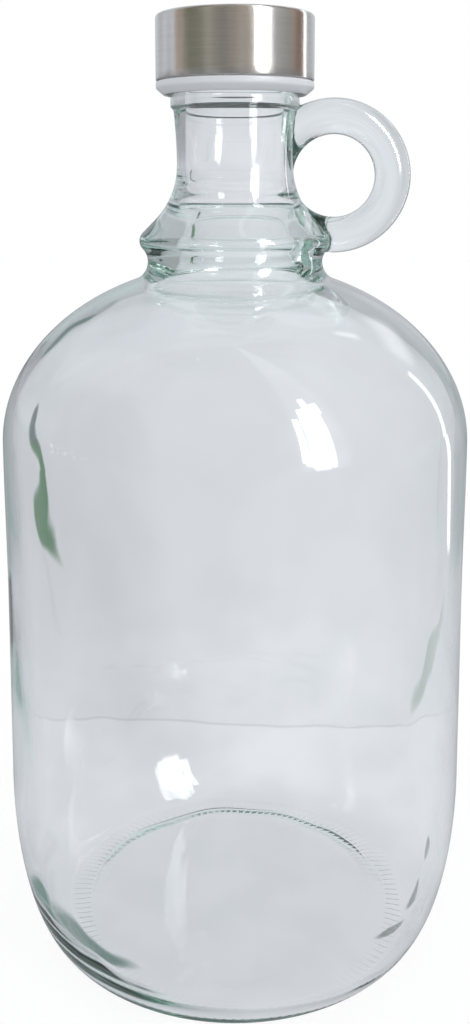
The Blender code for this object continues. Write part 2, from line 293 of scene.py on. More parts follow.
# What polished metal and glass mirror at each azimuth, from behind the camera round to it again, above a
# soft horizon
HORIZON_SOFT = 2.0
BANDS = (
    (-180, (0.74, 0.77, 0.82)),
    (-120, (0.70, 0.74, 0.80)),
    (-98, (0.66, 0.70, 0.76)),
    (-94, (0.50, 0.40, 0.35)),
    (-80, (0.42, 0.37, 0.32)),
    (-76, (0.20, 0.20, 0.15)),
    (-60, (0.24, 0.24, 0.18)),
    (-45, (0.38, 0.37, 0.31)),
    (-15, (0.40, 0.38, 0.34)),
    (10, (0.48, 0.43, 0.38)),
    (28, (0.55, 0.51, 0.46)),
    (33, (1.60, 1.62, 1.65)),
    (51, (1.60, 1.62, 1.65)),
    (57, (0.56, 0.57, 0.60)),
    (80, (0.46, 0.46, 0.45)),
    (94, (0.40, 0.34, 0.30)),
    (99, (0.33, 0.22, 0.18)),
    (112, (0.34, 0.24, 0.20)),
    (120, (0.60, 0.62, 0.66)),
    (150, (0.72, 0.75, 0.80)),
    (180, (0.74, 0.77, 0.82)),
)

# Brushed grain of the steel: how fine it is along and across its rings
GRAIN_ALONG = 55.0
GRAIN_ACROSS = 7000.0

WHITE = (1.0, 1.0, 1.0, 1.0)
BLACK = (0.0, 0.0, 0.0, 1.0)

# Middle height of the bottle, which the studio and the lamp are set round
MIDDLE = 0.12

# The floor lies just under the foot, and glows this much over 1 to the camera, so that it is white
FLOOR_RADIUS = 3.0
FLOOR_DROP = 0.0003
FLOOR_GLOW = 0.08

LAMP_PLACE = (1.0, -1.1, 1.2)
LAMP_SIZE = (0.9, 1.2)
BOUNCES = 36


def settings(name):
    """One of this scene's groups of sizes and colours."""
    return getattr(bpy.context.scene, "demijohn_" + name)


# Outlines and solids


class Outline:
    """The outline of a turned shape, drawn in the XZ plane run by run, from the top down its outside."""

    def __init__(self, radius, height):
        self.mesh = bmesh.new()
        self.end = self.mesh.verts.new((radius, 0.0, height))

    def line(self, radius, height, steps=1):
        """Runs straight to a point, in this many steps."""
        start, target = self.end.co.copy(), Vector((radius, 0.0, height))
        for i in range(steps):
            self.end = bmesh.ops.extrude_vert_indiv(self.mesh, verts=[self.end])["verts"][0]
            self.end.co = start.lerp(target, (i + 1) / steps)

    def arc(self, centre, angle, steps, squash=1.0):
        """Turns about a centre, clockwise when the angle in degrees is positive.

        The arc is an ellipse's when squash, its height over its width, isn't 1.
        """
        pivot = Vector((centre[0], 0.0, centre[1]))
        about = Matrix.Translation(-pivot)
        bmesh.ops.scale(self.mesh, vec=(1.0, 1.0, 1.0 / squash), space=about, verts=[self.end])
        known = set(self.mesh.verts)
        turned = bmesh.ops.spin(
            self.mesh,
            geom=[self.end],
            cent=pivot,
            axis=(0.0, 1.0, 0.0),
            angle=math.radians(angle),
            steps=steps,
            use_duplicate=False,
        )
        fresh = [v for v in self.mesh.verts if v not in known]
        bmesh.ops.scale(self.mesh, vec=(1.0, 1.0, squash), space=about, verts=fresh + [self.end])
        self.end = next(g for g in turned["geom_last"] if isinstance(g, bmesh.types.BMVert))

    def corner(self, radius, height, size, steps, turn_steps):
        """Runs outward at this height, and turns down at this radius with a round of this size."""
        self.line(radius - size, height, steps)
        self.arc((radius - size, height - size), 90.0, turn_steps)

    def turn(self, steps):
        """Spins the outline about the Z axis into a closed solid, and hands the bmesh over."""
        spin_round(self.mesh, (0.0, 0.0, 0.0), (0.0, 0.0, 1.0), steps)
        return self.mesh


def spin_round(shape, centre, axis, steps):
    """Spins a shape once round an axis into a closed solid."""
    bmesh.ops.spin(
        shape,
        geom=shape.verts[:] + shape.edges[:],
        cent=centre,
        axis=axis,
        angle=math.tau,
        steps=steps,
        use_merge=True,
        use_duplicate=False,
    )
    close_faces(shape)


def close_faces(shape):
    """Merges a shape's doubled points, and turns its faces outward."""
    bmesh.ops.remove_doubles(shape, verts=shape.verts[:], dist=MERGE)
    bmesh.ops.recalc_face_normals(shape, faces=shape.faces[:])


def add_object(name, shape):
    """A new object from a bmesh, shaded smooth."""
    mesh = bpy.data.meshes.new(name)
    shape.to_mesh(mesh)
    shape.free()
    mesh.shade_smooth()
    made = bpy.data.objects.new(name, mesh)
    bpy.context.scene.collection.objects.link(made)
    return made


def combine(piece, other, operation):
    """Joins the other shape to the piece, or cuts it out, and removes the other."""
    boolean = piece.modifiers.new(other.name, "BOOLEAN")
    boolean.operation = operation
    boolean.object = other
    boolean.solver = "EXACT"
    bpy.context.view_layer.update()
    graph = bpy.context.evaluated_depsgraph_get()
    mesh = bpy.data.meshes.new_from_object(piece.evaluated_get(graph))
    piece.modifiers.clear()
    piece.data = mesh
    bpy.data.objects.remove(other, do_unlink=True)


def finish_piece(piece, sharp_angle, material, body, node):
    """Shades a piece, gives it its material and hangs it on its body in place of its CAD node."""
    piece.data.shade_smooth()
    piece.data.set_sharp_from_angle(angle=math.radians(sharp_angle))
    piece.data.materials.clear()
    piece.data.materials.append(material)
    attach(piece, body)
    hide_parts(node)


# Faces of the glass


class Face:
    """Sizes of one face of the glass, outside or inside, from the neck's straight part to the crown."""

    def __init__(self, neck, flare, lip, groove, crown, rise, top):
        self.neck = neck
        self.flare_round, self.flare_angle = flare
        self.lip, self.lip_round, self.lip_rise = lip
        self.groove, self.groove_round = groove
        self.crown, self.rise, self.top = crown, rise, top

    def normal(self, angle):
        """The direction square to the shoulder's ellipse at this angle on it."""
        across, up = self.rise * math.cos(angle), self.crown * math.sin(angle)
        length = math.hypot(across, up)
        return across / length, up / length

    def groove_centre(self):
        """Centre of the groove's fillet, and the angle on the shoulder's ellipse where it touches."""
        low, high = 0.0, math.pi / 2
        for _ in range(BISECTIONS):
            angle = (low + high) / 2
            reach = self.crown * math.cos(angle) + self.groove_round * self.normal(angle)[0]
            low, high = (angle, high) if reach > self.groove + self.groove_round else (low, angle)
        height = self.top + self.rise * math.sin(angle) + self.groove_round * self.normal(angle)[1]
        return (self.groove + self.groove_round, height), angle

    def lip_centre(self):
        """Centre of the lip's arc, and the angle at which it meets the groove's arc."""
        (reach, height), _ = self.groove_centre()
        across = reach - (self.lip - self.lip_round)
        drop = math.sqrt(max((self.lip_round + self.groove_round) ** 2 - across**2, 0.0))
        centre = (self.lip - self.lip_round, height + drop + self.lip_rise)
        return centre, math.degrees(math.atan2(drop, across))

    def flare_centre(self):
        """Centre of the flare's arc, whose lower end runs straight on to touch the top of the lip."""
        turn = math.radians(self.flare_angle)
        lip, _ = self.lip_centre()
        top = (lip[0] + self.lip_round * math.cos(turn), lip[1] + self.lip_round * math.sin(turn))
        end = self.neck + self.flare_round * (1 - math.cos(turn))
        height = top[1] + (top[0] - end) / math.tan(turn)
        return self.neck + self.flare_round, height + self.flare_round * math.sin(turn)

    def draw(self, outline):
        """Draws the face from the neck's lower end over flare, lip, groove and shoulder to the crown."""
        turn = math.radians(self.flare_angle)
        lip, meeting = self.lip_centre()
        groove, touch = self.groove_centre()
        across, up = self.normal(touch)
        outline.arc(self.flare_centre(), -self.flare_angle, FLARE_STEPS)
        top = (lip[0] + self.lip_round * math.cos(turn), lip[1] + self.lip_round * math.sin(turn))
        outline.line(*top, FLARE_END_STEPS)
        outline.arc(lip, self.flare_angle + meeting, LIP_STEPS)
        reach = groove[0] - self.groove_round * math.cos(math.radians(meeting))
        outline.line(reach, outline.end.co.z - self.lip_rise, LIP_END_STEPS)
        outline.arc(groove, -(math.degrees(math.atan2(up, across)) + meeting), GROOVE_STEPS)
        sweep = 90.0 - math.degrees(math.atan2(self.crown * math.cos(touch), self.crown * math.sin(touch)))
        outline.arc((0.0, self.top), sweep, CROWN_STEPS, self.rise / self.crown)


def outer_face():
    """The outside of the glass."""
    glass = settings("glass")
    return Face(
        neck=glass.neck_radius,
        flare=(FLARE_ROUND, FLARE_ANGLE),
        lip=(COLLAR_RADIUS, COLLAR_ROUND, 0.0),
        groove=(COLLAR_RADIUS - GROOVE_DEPTH, GROOVE_ROUND),
        crown=glass.body_radius + CROWN_SWELL,
        rise=glass.shoulder_rise,
        top=glass.crown_height,
    )


def inner_face():
    """The inside of the glass."""
    glass = settings("glass")
    throat = COLLAR_RADIUS - COLLAR_WALL
    return Face(
        neck=glass.neck_radius - NECK_WALL,
        flare=(THROAT_FLARE_ROUND, THROAT_FLARE_ANGLE),
        lip=(throat, THROAT_ROUND, THROAT_RISE),
        groove=(throat, THROAT_FILLET),
        crown=glass.body_radius + CROWN_SWELL - glass.body_wall,
        rise=glass.shoulder_rise - glass.shoulder_wall,
        top=glass.crown_height,
    )


def draw_body(outline, radius, foot, floor, lowest):
    """Draws a face from the crown down the body and round the heel, as far down as the lowest height."""
    glass = settings("glass")
    for i in range(1, SWELL_STEPS + 1):
        share = (1 + math.cos(math.pi * i / SWELL_STEPS)) / 2
        outline.line(radius + CROWN_SWELL * share, glass.crown_height - SWELL_HEIGHT * i / SWELL_STEPS)
    outline.line(radius, glass.heel_height, SIDE_STEPS)
    squash = (glass.heel_height - floor) / (radius - foot)
    sweep = math.degrees(math.asin((glass.heel_height - lowest) / (glass.heel_height - floor)))
    outline.arc((foot, glass.heel_height), sweep, HEEL_STEPS, squash)


def lip_height():
    """Height of the collar's lip."""
    return outer_face().lip_centre()[0][1]


def heights():
    """Heights of the bead and of the rim."""
    bead = lip_height() + NECK_LENGTH
    return bead, bead + FINISH_HEIGHT


# Glass bottle


def draw_bead(outline, bead):
    """Draws the bead, its fillet under it and the neck's slight waist, as far down as the flare."""
    neck = settings("glass").neck_radius
    radius, turn = neck + BEAD_PROUD, math.radians(BEAD_TOP_ANGLE)
    edge = Vector((radius - BEAD_EDGE_ROUND, bead - BEAD_STRAIGHT))
    waist = Vector((neck + NECK_ROUND, outer_face().flare_centre()[1]))
    span, reach, meeting = edge - waist, NECK_ROUND - BEAD_FILLET, BEAD_EDGE_ROUND + BEAD_FILLET
    apart = math.acos((span.length**2 + reach**2 - meeting**2) / (2 * span.length * reach))
    lean = math.atan2(span.y, -span.x) - apart
    fillet = waist + Vector((-math.cos(lean), math.sin(lean))) * reach
    fall = math.degrees(math.atan2(edge.y - fillet.y, fillet.x - edge.x))
    outline.line(radius - BEAD_ROUND * (1 - math.cos(turn)), bead + BEAD_ROUND * math.sin(turn))
    outline.arc((radius - BEAD_ROUND, bead), BEAD_TOP_ANGLE, 8)
    outline.line(radius, edge.y, 2)
    outline.arc(edge, fall, 7)
    outline.arc(fillet, math.degrees(lean) - fall, 9)
    outline.arc(waist, -math.degrees(lean), NECK_STEPS)


def outer_solid():
    """The bottle's outside as a solid, whose foot has a ring of knurls."""
    glass = settings("glass")
    bead, rim = heights()
    foot = glass.body_radius - glass.heel_inset
    outline = Outline(0.0, rim)
    outline.corner(glass.finish_radius, rim, RIM_ROUND, 1, 5)
    outline.line(glass.finish_radius, bead + BEAD_ROUND * math.sin(math.radians(BEAD_TOP_ANGLE)), 8)
    draw_bead(outline, bead)
    outer_face().draw(outline)
    draw_body(outline, glass.body_radius, foot, 0.0, RIB_HEIGHT)
    outline.line(RIB_OUTER, RIB_HEIGHT)
    outline.line(RIB_INNER, RIB_HEIGHT)
    hollow = foot - FOOT_WIDTH - FOOT_EDGE
    start = RIB_HEIGHT + PUSH_UP_LIP
    outline.line(hollow, start)
    for i in range(1, PUSH_UP_STEPS + 1):
        share = 1 - i / PUSH_UP_STEPS
        outline.line(hollow * share, start + (PUSH_UP - start) * (1 - share**2) ** 0.5)
    shape = outline.turn(2 * RIBS)
    knurl(shape)
    return add_object("bottle", shape)


def knurl(shape):
    """Presses every second facet of the foot's ring down into a short rib with sloping flanks."""
    strips = []
    for face in shape.faces:
        middle = face.calc_center_median()
        if abs(middle.z - RIB_HEIGHT) < MERGE and RIB_INNER < middle.xy.length < RIB_OUTER:
            strips.append((math.atan2(middle.y, middle.x), face))
    strips.sort(key=lambda strip: strip[0])
    ribs = [face for _, face in strips[::2]]
    bmesh.ops.inset_individual(shape, faces=ribs, thickness=RIB_FLANK, use_even_offset=True)
    bmesh.ops.translate(shape, verts=list({v for f in ribs for v in f.verts}), vec=(0.0, 0.0, -RIB_HEIGHT))


def inner_solid():
    """The bottle's inside as a solid to cut out, a little uneven as blown glass is."""
    glass = settings("glass")
    _, rim = heights()
    bore = glass.neck_radius - NECK_WALL
    outline = Outline(0.0, rim + MOUTH_CLEAR)
    outline.line(bore + MOUTH_ROUND, rim + MOUTH_CLEAR)
    outline.line(bore + MOUTH_ROUND, rim)
    outline.arc((bore + MOUTH_ROUND, rim - MOUTH_ROUND), -90.0, 4)
    outline.line(bore, inner_face().flare_centre()[1], NECK_STEPS)
    inner_face().draw(outline)
    foot = glass.body_radius - glass.heel_inset - INNER_FOOT_INSET
    draw_body(outline, glass.body_radius - glass.body_wall, foot, HEEL_WALL, HEEL_WALL)
    for i in range(1, FLOOR_STEPS + 1):
        share = 1 - i / FLOOR_STEPS
        outline.line(foot * share, HEEL_WALL + (PUSH_UP + BASE_WALL - HEEL_WALL) * (1 - share**2))
    shape = outline.turn(INSIDE_TURN_STEPS)
    make_uneven(shape)
    return add_object("bottle_inside", shape)


def smooth_step(value, start, end):
    """0 at the start, 1 at the end, and eased between them."""
    share = min(max((value - start) / (end - start), 0.0), 1.0)
    return share * share * (3 - 2 * share)


def wave(place, waves):
    """Height of these waves at this place, between -1 and 1."""
    scale, start = waves
    return noise.noise(Vector([p * s for p, s in zip(place, scale)]) + Vector(start))


def make_uneven(shape):
    """Moves the inside a little: in waves, aside at the throat, and aslant at the floor."""
    glass = settings("glass")
    top = heights()[1]
    lip = lip_height()
    shape.normal_update()
    moves = []
    for v in shape.verts:
        height = v.co.z
        calm = CALM_NECK + (1 - CALM_NECK) * smooth_step(lip + CALM_OVER_LIP - height, 0.0, CALM_RUN)
        swing = wave(v.co, SLOW_WAVES) + FAST_SHARE * wave(v.co, FAST_WAVES)
        move = v.normal * (glass.waviness * swing * calm)
        near = smooth_step(height - lip, *THROAT_LOW) * smooth_step(height - lip, *THROAT_HIGH)
        move.x += glass.throat_shift * near
        move.z -= glass.floor_slant * v.co.x * smooth_step(height, SLANT_FROM, SLANT_TO)
        moves.append(move * smooth_step(height, top, top - STILL_MOUTH))
    for v, move in zip(shape.verts, moves):
        v.co += move


def ring_solid():
    """The handle's ring, which stands in the XZ plane beside the neck."""
    glass = settings("glass")
    top = heights()[0] + HANDLE_OVER_BEAD
    outer = (top - (lip_height() - HANDLE_UNDER_LIP)) / 2
    centre = Vector((glass.neck_radius + outer - HANDLE_SECTION, 0.0, top - outer))
    section = centre + Vector((outer - HANDLE_SECTION / 2, 0.0, 0.0))
    shape = bmesh.new()
    bmesh.ops.create_circle(shape, segments=RING_SECTION_STEPS, radius=HANDLE_SECTION / 2)
    bmesh.ops.scale(shape, vec=(1.0, HANDLE_THICKNESS / HANDLE_SECTION, 1.0), verts=shape.verts[:])
    bmesh.ops.translate(shape, verts=shape.verts[:], vec=section)
    spin_round(shape, centre, (0.0, 1.0, 0.0), RING_STEPS)
    return add_object("handle_ring", shape)


def ridge_width(radius):
    """Axial width of the bottle's thread at this radius."""
    share = (radius - settings("glass").finish_radius) / THREAD_HEIGHT
    return THREAD_ROOT_WIDTH + (THREAD_CREST_WIDTH - THREAD_ROOT_WIDTH) * share


def groove_width(radius):
    """Axial width at this radius of a ridge that runs in the bottle's thread with its clearance."""
    return THREAD_LEAD - ridge_width(radius) - 2 * THREAD_FLANK_CLEARANCE


def thread_solid(name, root, crest, width_at, top, turns):
    """A thread's ridge: a section with rounded crests, spun down a right-hand helix and sunk at both ends."""
    shape = bmesh.new()
    corners = []
    for radius, side in ((root, -1), (crest, -1), (crest, 1), (root, 1)):
        corners.append(shape.verts.new((radius, 0.0, top + side * width_at(radius) / 2)))
    shape.faces.new(corners)
    bmesh.ops.bevel(
        shape,
        geom=corners[1:3],
        offset=THREAD_EDGE_ROUND,
        segments=3,
        profile=0.5,
        affect="VERTICES",
        material=-1,
    )
    bmesh.ops.spin(
        shape,
        geom=shape.verts[:] + shape.edges[:] + shape.faces[:],
        cent=(0.0, 0.0, 0.0),
        axis=(0.0, 0.0, 1.0),
        dvec=(0.0, 0.0, -THREAD_LEAD / THREAD_STEPS),
        angle=-math.tau * turns,
        steps=round(turns * THREAD_STEPS),
        use_duplicate=False,
    )
    for v in shape.verts:
        angle = -math.atan2(v.co.y, v.co.x) % math.tau
        drop = (top - v.co.z) / THREAD_LEAD * math.tau
        along = angle + math.tau * round((drop - angle) / math.tau)
        end = math.degrees(min(along, math.tau * turns - along))
        share = min(max(end / THREAD_FADE, THREAD_START), 1.0)
        radius = v.co.xy.length
        v.co.xy *= (root + (radius - root) * share) / radius
    close_faces(shape)
    return add_object(name, shape)


def soften_joint(piece):
    """Rounds the line where the ring meets the neck and the collar."""
    low, high = lip_height() - JOINT_BELOW_LIP, heights()[0] + JOINT_OVER_BEAD
    side = settings("glass").neck_radius * JOINT_SIDE
    shape = bmesh.new()
    shape.from_mesh(piece.data)
    bmesh.ops.triangulate(shape, faces=[f for f in shape.faces if len(f.verts) > 4])
    crease = set()
    for edge in shape.edges:
        if len(edge.link_faces) == 2 and edge.calc_face_angle() > math.radians(CREASE_ANGLE):
            for v in edge.verts:
                if v.co.x > side and abs(v.co.y) < HANDLE_THICKNESS and low < v.co.z < high:
                    crease.add(v)
    tree = KDTree(len(crease))
    for i, v in enumerate(crease):
        tree.insert(v.co, i)
    tree.balance()
    near = [v for v in shape.verts if tree.find(v.co)[2] < JOINT_REACH]
    axes = {"use_axis_x": True, "use_axis_y": True, "use_axis_z": True}
    for _ in range(JOINT_ROUNDS):
        bmesh.ops.smooth_vert(shape, verts=near, factor=0.5, **axes)
    shape.to_mesh(piece.data)
    shape.free()


class DEMIJOHN_OT_bottle(bpy.types.Operator):
    """Makes the glass bottle with its ring handle"""

    bl_idname = "demijohn.bottle"
    bl_label = "Glass Bottle"

    def execute(self, context):
        glass = settings("glass")
        _, rim = heights()
        bottle = outer_solid()
        combine(bottle, ring_solid(), "UNION")
        root, crest = glass.finish_radius - THREAD_SINK, glass.finish_radius + THREAD_HEIGHT
        thread = thread_solid("bottle_thread", root, crest, ridge_width, rim - THREAD_BELOW_RIM, THREAD_TURNS)
        combine(bottle, thread, "UNION")
        combine(bottle, inner_solid(), "DIFFERENCE")
        soften_joint(bottle)
        finish_piece(bottle, GLASS_SHARP, glass_material(), "bottle", "glass_bottle")
        return {"FINISHED"}


# Cap


def cap_sizes():
    """Radii and heights that the cap's pieces share."""
    glass = settings("glass")
    bead, rim = heights()
    bore = glass.finish_radius + THREAD_HEIGHT + THREAD_CLEARANCE
    skirt = bead + SKIRT_OVER_BEAD
    liner = rim + FIT_GAP
    ceiling = liner + LINER_THICKNESS + FIT_GAP
    return SimpleNamespace(
        bore=bore,
        insert=bore + INSERT_WALL,
        radius=bore + INSERT_WALL + FIT_GAP + SHELL_WALL,
        skirt=skirt,
        edge=skirt + SKIRT_SHOWING,
        liner=liner,
        ceiling=ceiling,
        plate=ceiling + INSERT_TOP,
        top=ceiling + INSERT_TOP + FIT_GAP + SHELL_WALL,
    )


class DEMIJOHN_OT_shell(bpy.types.Operator):
    """Makes the cap's brushed steel shell"""

    bl_idname = "demijohn.shell"
    bl_label = "Cap Shell"

    def execute(self, context):
        cap = cap_sizes()
        corner = (cap.radius - SHELL_EDGE_ROUND, cap.top - SHELL_EDGE_ROUND)
        hem = SHELL_WALL / 2
        outline = Outline(0.0, cap.top)
        outline.corner(cap.radius, cap.top, SHELL_EDGE_ROUND, 8, 8)
        outline.line(cap.radius, cap.edge + hem, 8)
        outline.arc((cap.radius - hem, cap.edge + hem), 180.0, 6)
        outline.line(cap.radius - SHELL_WALL, corner[1], 4)
        outline.arc(corner, -90.0, 6)
        outline.line(0.0, cap.top - SHELL_WALL, 4)
        shell = add_object("shell", outline.turn(CAP_TURN_STEPS))
        finish_piece(shell, STEEL_SHARP, steel_material(), "cap", "cap_shell")
        return {"FINISHED"}


class DEMIJOHN_OT_insert(bpy.types.Operator):
    """Makes the cap's white plastic insert, with its skirt and its thread"""

    bl_idname = "demijohn.insert"
    bl_label = "Cap Insert"

    def execute(self, context):
        glass = settings("glass")
        cap = cap_sizes()
        flange = cap.edge - FIT_GAP
        outline = Outline(0.0, cap.plate)
        outline.corner(cap.insert, cap.plate, SHELL_EDGE_ROUND - SHELL_WALL, 4, 4)
        outline.line(cap.insert, flange, 2)
        outline.corner(cap.radius, flange, SKIRT_ROUND, 1, 5)
        outline.line(cap.radius, flange - SKIRT_BAND)
        slope = math.degrees(math.atan2(SKIRT_CHAMFER, flange - SKIRT_BAND - cap.skirt))
        outline.arc((cap.radius - SKIRT_BAND_ROUND, flange - SKIRT_BAND), slope, 5)
        outline.line(cap.radius - SKIRT_CHAMFER + SKIRT_CHAMFER_ROUND, cap.skirt + SKIRT_ROUND)
        outline.line(cap.radius - SKIRT_CHAMFER - SKIRT_ROUND, cap.skirt)
        outline.line(cap.bore + SKIRT_LEAD_IN, cap.skirt)
        outline.line(cap.bore, cap.skirt + SKIRT_LEAD_IN)
        outline.line(cap.bore, cap.ceiling, 6)
        outline.line(0.0, cap.ceiling, 4)
        insert = add_object("insert", outline.turn(CAP_TURN_STEPS))
        thread = thread_solid(
            "insert_thread",
            cap.bore + THREAD_SINK,
            glass.finish_radius + THREAD_CLEARANCE,
            groove_width,
            heights()[1] - THREAD_BELOW_RIM - THREAD_LEAD / 2,
            CAP_THREAD_TURNS,
        )
        combine(insert, thread, "UNION")
        finish_piece(insert, SOFT_SHARP, plastic_material(), "cap", "cap_insert")
        return {"FINISHED"}


class DEMIJOHN_OT_liner(bpy.types.Operator):
    """Makes the foam disc that seals on the rim"""

    bl_idname = "demijohn.liner"
    bl_label = "Cap Liner"

    def execute(self, context):
        cap = cap_sizes()
        rim = settings("glass").finish_radius
        radius, top = cap.bore - FIT_GAP, cap.liner + LINER_THICKNESS
        outline = Outline(0.0, top)
        outline.corner(radius, top, LINER_ROUND, 4, 4)
        outline.line(radius, cap.liner + LINER_ROUND)
        outline.arc((radius - LINER_ROUND, cap.liner + LINER_ROUND), 90.0, 4)
        inner = rim - DENT_WIDTH
        outline.line(rim + DENT_FLANK, cap.liner, 2)
        outline.line(rim - DENT_FLANK, cap.liner + DENT, 2)
        outline.line(inner, cap.liner + DENT, 2)
        outline.line(inner - DENT_FADE, cap.liner, 2)
        outline.line(0.0, cap.liner, 4)
        liner = add_object("liner", outline.turn(LINER_TURN_STEPS))
        finish_piece(liner, SOFT_SHARP, foam_material(), "liner", "cap_liner")
        return {"FINISHED"}


# Node trees


class Graph:
    """A node tree, with short ways to add and join its nodes."""

    def __init__(self, tree):
        self.tree = tree

    def add(self, kind, inputs=None, **values):
        """A node with these settings, and with a value or another node's output on each named input."""
        node = self.tree.nodes.new(kind)
        for name, value in values.items():
            setattr(node, name, value)
        for name, value in (inputs or {}).items():
            self.feed(node.inputs[name], value)
        return node

    def feed(self, target, value):
        """Sets an input to a value, or links another node's output to it."""
        if isinstance(value, bpy.types.NodeSocket):
            self.tree.links.new(value, target)
        else:
            target.default_value = value

    def math(self, operation, *values):
        """The result of a Math node."""
        return self.add("ShaderNodeMath", dict(enumerate(values)), operation=operation).outputs[0]

    def times(self, *values):
        """The product of two values."""
        return self.math("MULTIPLY", *values)

    def mix(self, factor, first, second, blend="MIX"):
        """A mix of two colours."""
        inputs = {"Factor": factor, "A": first, "B": second}
        return self.add("ShaderNodeMix", inputs, data_type="RGBA", blend_type=blend).outputs["Result"]

    def eased(self, value, start, end):
        """0 at the start, 1 at the end, and eased between them."""
        inputs = {"Value": value, "From Min": start, "From Max": end, "To Min": 0.0, "To Max": 1.0}
        return self.add("ShaderNodeMapRange", inputs, interpolation_type="SMOOTHSTEP").outputs[0]

    def noise(self, vector, scale, detail):
        """A Noise Texture's value, which lies about 0.5."""
        inputs = {"Vector": vector, "Scale": scale, "Detail": detail}
        return self.add("ShaderNodeTexNoise", inputs).outputs["Fac"]

    def clouds(self, vector, scale, start, end):
        """A noise that is 0 below the start of this range and 1 above its end."""
        return self.eased(self.noise(vector, scale, 2.0), start, end)

    def ramp(self, degrees, turn, stops):
        """A colour by an angle in degrees, from stops with their colours that cover this much round 0."""
        share = self.math("ADD", self.math("DIVIDE", degrees, turn), 0.5)
        node = self.add("ShaderNodeValToRGB", {"Fac": share})
        elements = node.color_ramp.elements
        while len(elements) < len(stops):
            elements.new(0.5)
        for element, (angle, colour) in zip(elements, stops):
            element.position = angle / turn + 0.5
            element.color = (*colour, 1.0)
        return node.outputs["Color"]

    def parts(self, vector):
        """The three parts of a vector."""
        return self.add("ShaderNodeSeparateXYZ", {"Vector": vector}).outputs[:]


class Surface(Graph):
    """A material's node tree, with its Principled shader."""

    def __init__(self, name, **values):
        self.material = bpy.data.materials.new(name)
        self.material.use_nodes = True
        super().__init__(self.material.node_tree)
        self.shader = self.tree.nodes["Principled BSDF"]
        self.output = self.tree.nodes["Material Output"]
        for key, value in values.items():
            self.shader.inputs[key.replace("_", " ").title().replace("Ior", "IOR")].default_value = value
        self.place = self.add("ShaderNodeTexCoord").outputs["Object"]

    def bump(self, height, strength, distance):
        """Adds a bump from this height to the shader's normal."""
        node = self.add("ShaderNodeBump", {"Height": height, "Strength": strength, "Distance": distance})
        self.feed(self.shader.inputs["Normal"], node.outputs["Normal"])


def glass_material():
    """Clear glass that turns green with depth, with the faint unevenness of a moulded face."""
    glass = settings("glass")
    made = Surface(
        "clear_glass",
        base_color=(*glass.tint, 1.0),
        roughness=0.0,
        ior=glass.refraction,
        transmission_weight=1.0,
    )
    made.bump(made.noise(made.place, scale=26.0, detail=0.0), strength=0.05, distance=0.0004)
    inputs = {"Color": (*glass.depth_colour, 1.0), "Density": glass.depth}
    volume = made.add("ShaderNodeVolumeAbsorption", inputs)
    made.feed(made.output.inputs["Volume"], volume.outputs["Volume"])
    return made.material


def steel_material():
    """Steel brushed round the cap: the grain runs in rings on its side and on its top."""
    cap = settings("cap")
    made = Surface(
        "brushed_steel",
        base_color=(*cap.steel, 1.0),
        metallic=1.0,
        roughness=0.2,
        anisotropic=0.75,
        anisotropic_rotation=0.25,
    )
    x, y, z = made.parts(made.place)
    ring = made.math("SQRT", made.math("ADD", made.times(x, x), made.times(y, y)))
    across = made.times(made.math("ADD", ring, z), GRAIN_ACROSS)
    grain_place = made.add(
        "ShaderNodeCombineXYZ",
        {"X": made.times(x, GRAIN_ALONG), "Y": made.times(y, GRAIN_ALONG), "Z": across},
    ).outputs[0]
    grain = made.noise(grain_place, scale=1.0, detail=3.0)
    shade = made.add("ShaderNodeValToRGB", {"Fac": grain})
    shade.color_ramp.elements[0].position, shade.color_ramp.elements[1].position = 0.3, 0.7
    shade.color_ramp.elements[0].color = tuple(c * 0.93 for c in cap.steel) + (1.0,)
    shade.color_ramp.elements[1].color = tuple(min(c * 1.05, 1.0) for c in cap.steel) + (1.0,)
    made.feed(made.shader.inputs["Base Color"], shade.outputs["Color"])
    rough = made.add("ShaderNodeMapRange", {"Value": grain, "To Min": 0.17, "To Max": 0.27})
    made.feed(made.shader.inputs["Roughness"], rough.outputs[0])
    tangent = made.add("ShaderNodeTangent", direction_type="RADIAL", axis="Z")
    made.feed(made.shader.inputs["Tangent"], tangent.outputs[0])
    made.bump(grain, strength=0.12, distance=0.00002)
    return made.material


def plastic_material():
    """Moulded white plastic with a fine, even skin."""
    cap = settings("cap")
    made = Surface("white_plastic", roughness=0.36)
    cloud = made.noise(made.place, scale=160.0, detail=2.0)
    shade = made.mix(cloud, tuple(c * 0.96 for c in cap.plastic) + (1.0,), (*cap.plastic, 1.0))
    made.feed(made.shader.inputs["Base Color"], shade)
    made.bump(made.noise(made.place, scale=2400.0, detail=2.0), strength=0.08, distance=0.00004)
    return made.material


def foam_material():
    """Closed-cell foam."""
    cap = settings("cap")
    made = Surface("foam_liner", roughness=0.85)
    cells = made.add("ShaderNodeTexVoronoi", {"Vector": made.place, "Scale": 2600.0}).outputs["Distance"]
    shade = made.mix(cells, (*cap.foam, 1.0), tuple(c * 0.9 for c in cap.foam) + (1.0,))
    made.feed(made.shader.inputs["Base Color"], shade)
    made.bump(cells, strength=0.3, distance=0.0001)
    return made.material


# Stage


def patch(graph, azimuth, elevation, angle, half_angle, height, half_height, edge):
    """1 inside a patch of the surroundings and 0 outside it."""
    across = graph.math("ABSOLUTE", graph.math("SUBTRACT", azimuth, angle))
    up = graph.math("ABSOLUTE", graph.math("SUBTRACT", elevation, height))
    return graph.times(
        graph.eased(across, half_angle + edge, half_angle - edge),
        graph.eased(up, half_height + edge, half_height - edge),
    )


